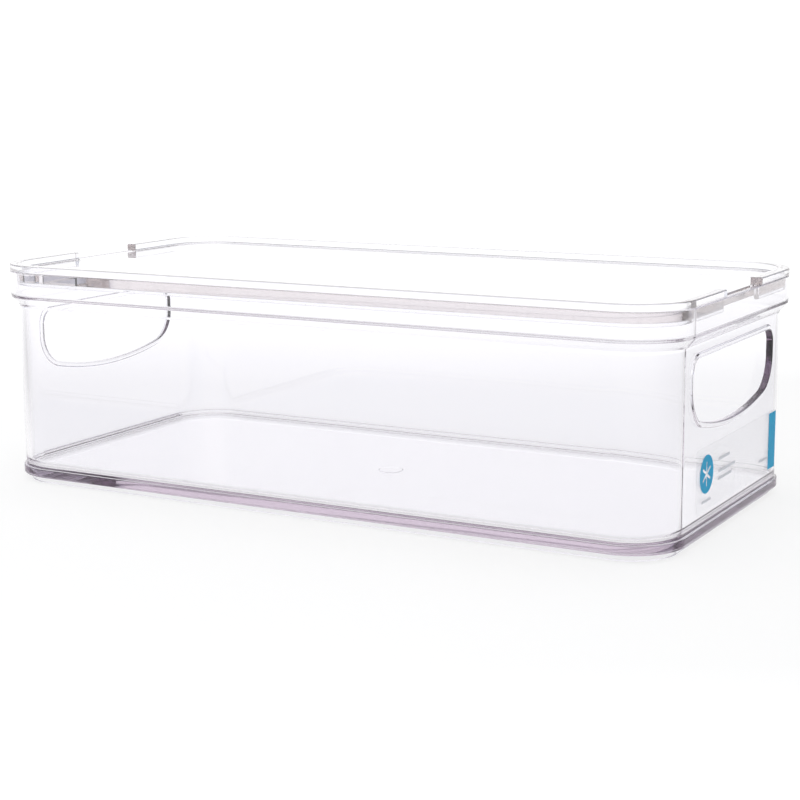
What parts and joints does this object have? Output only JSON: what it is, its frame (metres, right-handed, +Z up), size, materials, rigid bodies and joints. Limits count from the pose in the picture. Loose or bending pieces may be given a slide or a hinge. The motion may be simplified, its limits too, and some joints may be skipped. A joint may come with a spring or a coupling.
{
  "type": "lidded fridge bin",
  "caption": "Long clear plastic storage bin with rounded corners, a hand hole in each end wall, a recessed lift-off stacking lid with finger notches, and an end label.",
  "frame": {"origin": "centre of the footprint, on the surface the bin stands on", "axes": "+X along the length, towards the end wall with the label; +Y across the width; +Z up"},
  "size_m": [0.323, 0.1606, 0.0985],
  "materials": {
    "clear_plastic": "clear, polished injection moulding with a faint lavender tint",
    "label_film": "clear self-adhesive film, slightly milky",
    "teal_ink": "opaque teal-blue print",
    "grey_ink": "faint grey print"
  },
  "bodies": {
    "bin": {"bin": "clear_plastic", "label_film": "label_film", "label_badge": "teal_ink", "label_stripe": "teal_ink", "label_lines": "grey_ink"},
    "lid": {"lid": "clear_plastic"}
  },
  "joints": [
    {"name": "lid_lift", "type": "slide", "parent": "bin", "child": "lid", "axis": [0, 0, 1], "range_m": [0, 0.12]}
  ]
}
